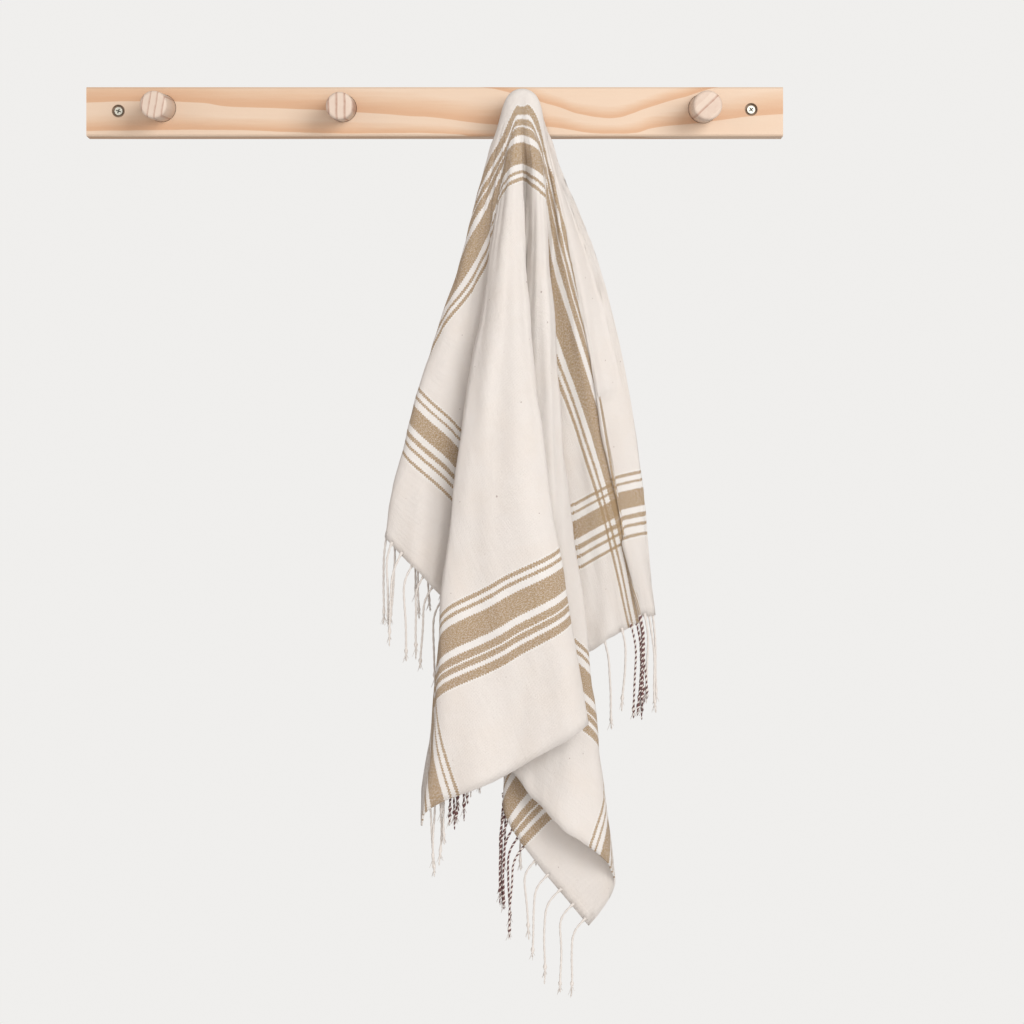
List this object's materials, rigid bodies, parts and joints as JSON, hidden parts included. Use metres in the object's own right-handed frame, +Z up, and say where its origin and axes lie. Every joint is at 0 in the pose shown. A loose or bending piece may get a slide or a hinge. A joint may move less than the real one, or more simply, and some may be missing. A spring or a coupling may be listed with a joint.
{
  "type": "hand towel on a peg hook rail",
  "caption": "Handwoven striped cotton hand towel with knotted fringe, draped over a wooden peg of a wall-mounted pine rail.",
  "frame": {"origin": "centre of the rail's back face, which lies on the wall", "axes": "+Y into the wall, +Z up, +X to the right as seen from the room"},
  "size_m": [0.54, 0.0735, 0.7077],
  "materials": {
    "rail_pine": "planed pine with a clear matt finish",
    "peg_wood": "turned softwood, clear matt finish",
    "screw_steel": "zinc-plated steel",
    "towel_cotton": "handwoven cotton, cream with tan stripe bands",
    "fringe_cotton": "twisted and knotted cotton yarn"
  },
  "bodies": {
    "root": {"rail": "rail_pine", "peg_1": "peg_wood", "peg_2": "peg_wood", "peg_3": "peg_wood", "peg_4": "peg_wood", "screw_left": "screw_steel", "screw_right": "screw_steel", "towel": "towel_cotton", "fringe_left": "fringe_cotton", "fringe_right": "fringe_cotton"}
  },
  "joints": []
}
